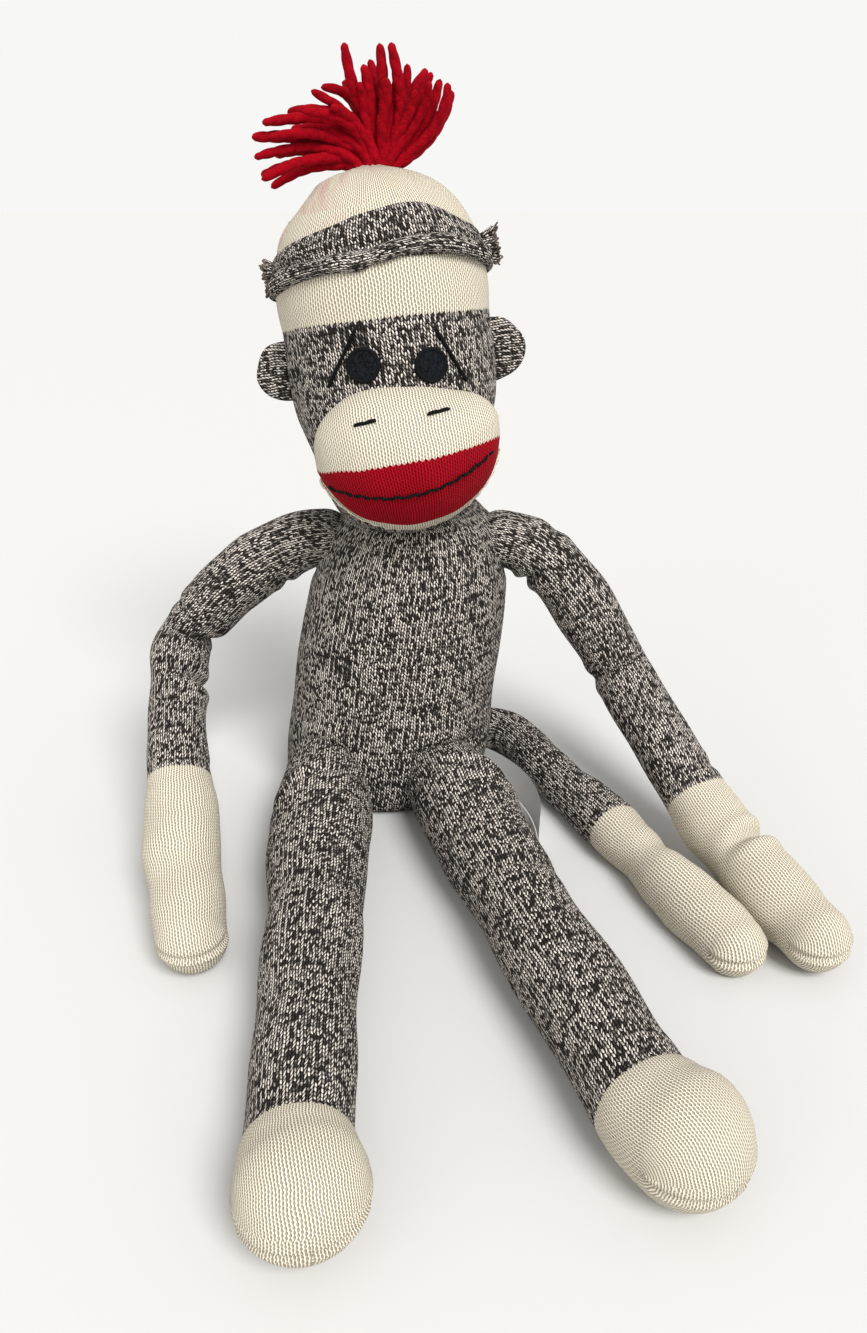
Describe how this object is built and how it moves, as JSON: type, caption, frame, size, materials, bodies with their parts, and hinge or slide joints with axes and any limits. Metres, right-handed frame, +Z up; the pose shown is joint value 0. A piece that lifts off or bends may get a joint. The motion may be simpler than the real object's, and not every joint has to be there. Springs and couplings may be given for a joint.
{
  "type": "sock monkey doll",
  "caption": "Seated stuffed monkey doll of sock knit with jointed limbs, a long tail, a rolled-brim hat with a yarn tassel and a sewn face.",
  "frame": {"origin": "middle of the flat that the doll sits on", "axes": "+Z up, the doll's front and legs towards -Y, +X to the right of someone who looks at its face"},
  "size_m": [0.3218, 0.3649, 0.3507],
  "materials": {
    "marl_knit": "soft stockinette knit of dark brown and off-white twisted yarn",
    "cream_knit": "soft cream stockinette knit",
    "red_knit": "soft red stockinette knit",
    "red_yarn": "thick two-ply yarn",
    "black_felt": "felt disc with a stitched rim",
    "black_thread": "matt sewing thread",
    "white_satin": "satin ribbon"
  },
  "bodies": {
    "torso": {"torso": "marl_knit", "label": "white_satin"},
    "head": {"head": "marl_knit", "forehead_band": "cream_knit", "hat_crown": "cream_knit", "hat_brim": "marl_knit", "brim_tab_left": "marl_knit", "brim_tab_right": "marl_knit", "tassel": "red_yarn", "ear_left": "marl_knit", "ear_right": "marl_knit", "muzzle": "cream_knit", "lips": "red_knit", "muzzle_seam": "cream_knit", "eye_left": "black_felt", "eye_right": "black_felt", "brow_left": "black_thread", "brow_right": "black_thread", "nostril_left": "black_thread", "nostril_right": "black_thread", "smile": "black_thread"},
    "upper_arm_left": {"upper_arm_left": "marl_knit"},
    "forearm_left": {"forearm_left": "marl_knit", "hand_left": "cream_knit"},
    "thigh_left": {"thigh_left": "marl_knit"},
    "shin_left": {"shin_left": "marl_knit", "foot_left": "cream_knit"},
    "upper_arm_right": {"upper_arm_right": "marl_knit"},
    "forearm_right": {"forearm_right": "marl_knit", "hand_right": "cream_knit"},
    "thigh_right": {"thigh_right": "marl_knit"},
    "shin_right": {"shin_right": "marl_knit", "foot_right": "cream_knit"},
    "tail": {"tail": "marl_knit", "tail_tip": "cream_knit"}
  },
  "joints": [
    {"name": "neck", "type": "hinge", "parent": "torso", "child": "head", "pos_m": [0.01804, 0.01199, 0.137], "axis": [1, 0, 0], "range_deg": [-12, 15], "stiffness_Nm_per_rad": 1.2},
    {"name": "shoulder_left", "type": "hinge", "parent": "torso", "child": "upper_arm_left", "pos_m": [-0.02623, 0.01199, 0.137], "axis": [-1, 0, 0], "range_deg": [-20, 110]},
    {"name": "elbow_left", "type": "hinge", "parent": "upper_arm_left", "child": "forearm_left", "pos_m": [-0.10379, 0.00928, 0.0822], "axis": [-0.6811, -0.4531, 0.5751], "range_deg": [-55, 5]},
    {"name": "shoulder_right", "type": "hinge", "parent": "torso", "child": "upper_arm_right", "pos_m": [0.06231, 0.01199, 0.137], "axis": [-1, 0, 0], "range_deg": [-20, 110]},
    {"name": "elbow_right", "type": "hinge", "parent": "upper_arm_right", "child": "forearm_right", "pos_m": [0.12619, 0.00414, 0.06713], "axis": [-0.91, -0.4147, 0], "range_deg": [-10, 60]},
    {"name": "hip_left", "type": "hinge", "parent": "torso", "child": "thigh_left", "pos_m": [-0.0278, -0.02721, 0.0205], "axis": [0.9998, 0.0218, 0], "range_deg": [-20, 90]},
    {"name": "knee_left", "type": "hinge", "parent": "thigh_left", "child": "shin_left", "pos_m": [-0.02309, -0.1351, 0.01975], "axis": [0.9996, 0.0288, 0], "range_deg": [-30, 75]},
    {"name": "hip_right", "type": "hinge", "parent": "torso", "child": "thigh_right", "pos_m": [0.0332, -0.02321, 0.0205], "axis": [0.9889, 0.1487, 0], "range_deg": [-20, 90]},
    {"name": "knee_right", "type": "hinge", "parent": "thigh_right", "child": "shin_right", "pos_m": [0.06495, -0.12643, 0.01975], "axis": [0.9854, 0.1702, 0], "range_deg": [-30, 75]},
    {"name": "tail_root", "type": "hinge", "parent": "torso", "child": "tail", "pos_m": [0.02348, 0.03612, 0.01125], "axis": [1, 0, 0], "range_deg": [-20, 90]}
  ]
}
